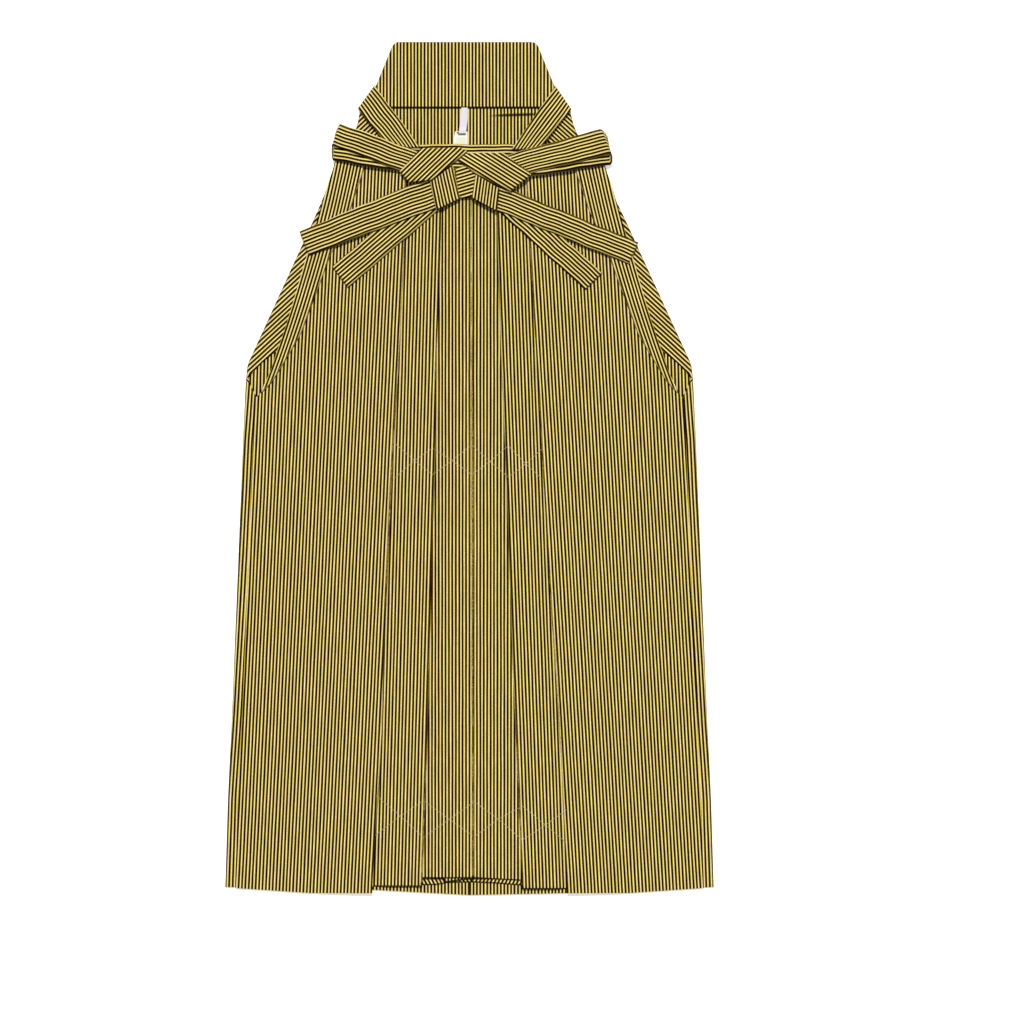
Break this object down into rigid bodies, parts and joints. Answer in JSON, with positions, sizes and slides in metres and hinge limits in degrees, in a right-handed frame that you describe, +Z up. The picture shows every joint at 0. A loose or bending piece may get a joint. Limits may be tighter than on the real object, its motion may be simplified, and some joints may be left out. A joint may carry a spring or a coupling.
{
  "type": "hakama trousers",
  "caption": "Formal pleated wide-leg trousers laid flat, front up, with a stiff trapezoid board at the back of the waist and a belt tied in front.",
  "frame": {"origin": "centre of the bounding box in X and Y, on the surface that the garment lies on", "axes": "+X to the viewer's right of the garment's front, +Y from the hem up to the back board's top edge, +Z up out of the garment's front"},
  "size_m": [0.5864, 1.0236, 0.018],
  "materials": {
    "striped_cloth": "ribbed plain weave with fine black, gold and white warp stripes, low silky sheen",
    "striped_belt": "the same striped cloth, folded and pressed into a stiff flat belt",
    "board_cloth": "the same striped cloth stretched over a stiff padded board",
    "white_plastic": "milky smooth plastic",
    "white_ribbon": "plain woven tape"
  },
  "bodies": {
    "root": {"back_left": "striped_cloth", "back_right": "striped_cloth", "front_left": "striped_cloth", "front_right": "striped_cloth", "koshi_board": "board_cloth", "spatula": "white_plastic", "spatula_ribbon": "white_ribbon", "waistband": "striped_belt", "back_tie_left": "striped_belt", "back_tie_right": "striped_belt", "tail_short_left": "striped_belt", "tail_short_right": "striped_belt", "tail_long_left": "striped_belt", "tail_long_right": "striped_belt", "knot_band": "striped_belt", "loop_left": "striped_belt", "loop_right": "striped_belt", "wrap_left": "striped_belt", "wrap_right": "striped_belt", "cross_left": "striped_belt", "cross_right": "striped_belt"}
  },
  "joints": []
}
